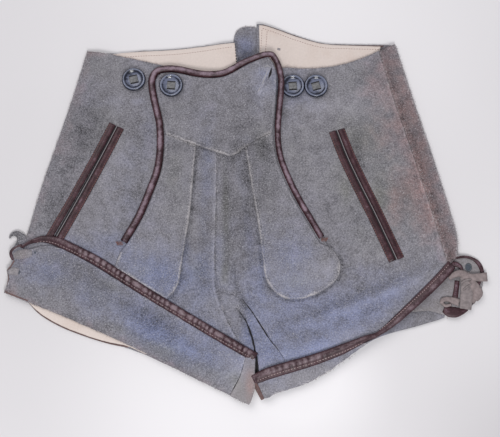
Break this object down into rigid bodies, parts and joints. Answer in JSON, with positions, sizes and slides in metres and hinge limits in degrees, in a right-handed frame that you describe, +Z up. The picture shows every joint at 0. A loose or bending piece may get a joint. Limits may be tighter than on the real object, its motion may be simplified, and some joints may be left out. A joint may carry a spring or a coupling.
{
  "type": "lederhosen",
  "caption": "Child's short grey-blue suede lederhosen laid flat, with a piped drop-front flap, horn buttons, welted pockets and turned-up bound cuffs.",
  "frame": {"origin": "centre of the laid garment's bounding box, on the surface it lies on", "axes": "+X across the garment towards the wearer's left, +Y from the hems up to the waist, +Z up from the surface through the back to the front"},
  "size_m": [0.4278, 0.348, 0.0153],
  "materials": {
    "suede": "napped grey-blue suede, mottled and worn",
    "cream_facing": "smooth cream facing leather",
    "brown_binding": "smooth dark brown binding leather, semi-gloss",
    "thong": "raw grey-beige suede thong",
    "horn": "dark polished horn-like button"
  },
  "bodies": {
    "root": {"back_left": "suede", "back_right": "suede", "back_tongue": "suede", "front_left": "suede", "front_right": "suede", "gusset_left": "suede", "gusset_right": "suede", "flap_yoke": "suede", "flap_panel_left": "suede", "flap_panel_right": "suede", "cuff_left": "suede", "cuff_left_end": "suede", "cuff_right_turnup": "suede", "lace_left_end": "suede", "lace_left_turn_upper": "suede", "lace_left_turn_lower": "suede", "waist_facing_left": "cream_facing", "waist_facing_right": "cream_facing", "hem_facing_left": "cream_facing", "flap_piping": "brown_binding", "pocket_left_welt_outer": "brown_binding", "pocket_left_welt_inner": "brown_binding", "pocket_right_welt_inner": "brown_binding", "pocket_right_welt_outer": "brown_binding", "cuff_left_binding": "brown_binding", "cuff_right_binding": "brown_binding", "vent_tab_binding": "brown_binding", "vent_low_binding": "brown_binding", "vent_tab_right": "thong", "lace_right_down": "thong", "lace_right_loop": "thong", "lace_right_across": "thong", "lace_right_end": "thong", "button_1_thong": "thong", "button_2_thong": "thong", "button_3_thong": "thong", "button_4_thong": "thong", "button_1": "horn", "button_2": "horn", "button_3": "horn", "button_4": "horn"}
  },
  "joints": []
}
